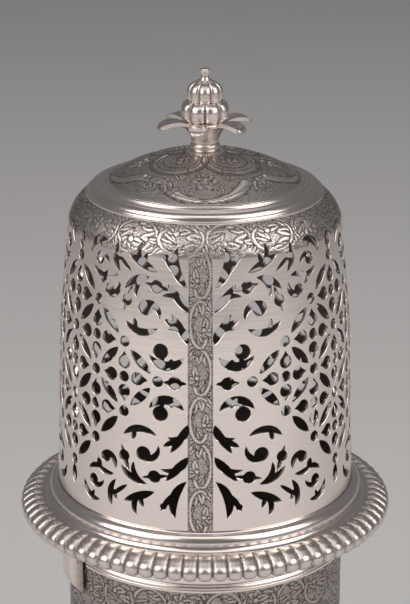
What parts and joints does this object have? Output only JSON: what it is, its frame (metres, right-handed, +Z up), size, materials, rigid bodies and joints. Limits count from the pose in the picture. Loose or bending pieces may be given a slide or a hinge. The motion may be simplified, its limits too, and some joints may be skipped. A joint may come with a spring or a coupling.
{
  "type": "sugar caster",
  "caption": "Cylindrical silver sugar caster with a tall pierced bayonet cover, engraved domed top, gadrooned borders and a leafy bud finial.",
  "frame": {"origin": "centre of the foot's underside, on the table", "axes": "+Z up along the axis, the front engraved band towards -Y"},
  "size_m": [0.092, 0.092, 0.2095],
  "materials": {
    "polished_silver": "polished silver with fine wear",
    "engraved_silver": "engraved silver on a matted ground"
  },
  "bodies": {
    "body": {"foot_rim": "polished_silver", "foot_gadroon": "polished_silver", "foot": "polished_silver", "base_ring": "polished_silver", "body_wall": "engraved_silver", "body_floor": "polished_silver", "body_neck": "polished_silver", "rim_moulding": "polished_silver"},
    "lift_ring": {"cover_bezel": "polished_silver"},
    "cover": {"base_moulding": "polished_silver", "gadroon_border": "polished_silver", "bayonet_lug_left": "polished_silver", "bayonet_lug_right": "polished_silver", "pierced_drum": "polished_silver", "top_moulding": "polished_silver", "top_plate": "engraved_silver", "finial_washer": "polished_silver", "finial_peg": "polished_silver", "finial_collar": "polished_silver", "finial_calyx": "polished_silver", "finial_lower_bud": "polished_silver", "finial_upper_bud": "polished_silver", "finial_tip": "polished_silver"}
  },
  "joints": [
    {"name": "cover_lift", "type": "slide", "parent": "body", "child": "lift_ring", "axis": [0, 0, 1], "range_m": [0, 0.1]},
    {"name": "cover_turn", "type": "hinge", "parent": "lift_ring", "child": "cover", "pos_m": [0, 0, 0.1005], "axis": [0, 0, 1], "continuous": true}
  ]
}
